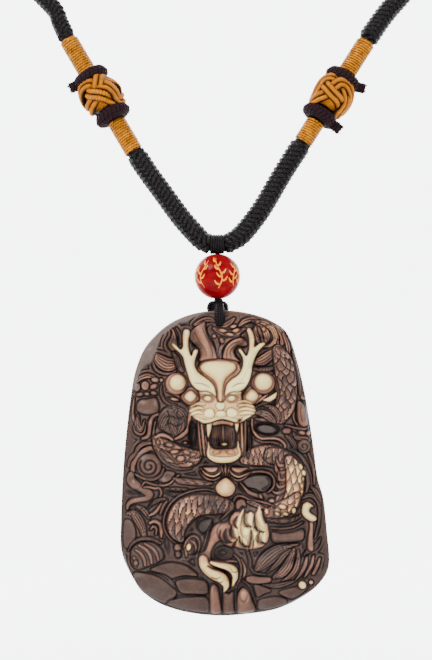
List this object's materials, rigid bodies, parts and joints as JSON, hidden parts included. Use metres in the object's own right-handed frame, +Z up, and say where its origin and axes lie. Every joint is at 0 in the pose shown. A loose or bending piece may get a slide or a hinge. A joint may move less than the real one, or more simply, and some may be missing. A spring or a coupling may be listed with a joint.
{
  "type": "carved stone pendant",
  "caption": "Rounded trapezoid stone pendant carved with a dragon in relief, hung from a round plaited cord loop by a thin knotted cord and a bead, with silk-bound woven knots.",
  "frame": {"origin": "on the nape, at the inner side of the plaited cord's whipping, where the necklace hangs on the back of the neck", "axes": "+Z up; +X to the right of the front view; -Y towards the front, where the carved face looks"},
  "size_m": [0.1348, 0.1362, 0.2773],
  "materials": {
    "stone": "satin",
    "agate": "gloss",
    "thin_cord": "matte",
    "plaited_cord": "matte",
    "gold_silk": "satin",
    "gold_cord": "satin",
    "plum_cord": "matte"
  },
  "bodies": {
    "necklace": {"braid": "plaited_cord", "wrap_left_lower": "gold_silk", "wrap_left_upper": "gold_silk", "collar_left_lower": "plum_cord", "collar_left_upper": "plum_cord", "knot_left": "gold_cord", "wrap_right_lower": "gold_silk", "wrap_right_upper": "gold_silk", "collar_right_lower": "plum_cord", "collar_right_upper": "plum_cord", "knot_right": "gold_cord", "back_join": "plaited_cord"},
    "drop": {"stone_pendant": "stone", "stone_loop": "thin_cord", "bead": "agate", "bead_cord": "thin_cord", "hanger_wrap": "thin_cord"}
  },
  "joints": [
    {"name": "pendant_swing", "type": "hinge", "parent": "necklace", "child": "drop", "pos_m": [-0.0006, -0.125, -0.1899], "axis": [1, 0, 0], "range_deg": [-90, 90]}
  ]
}
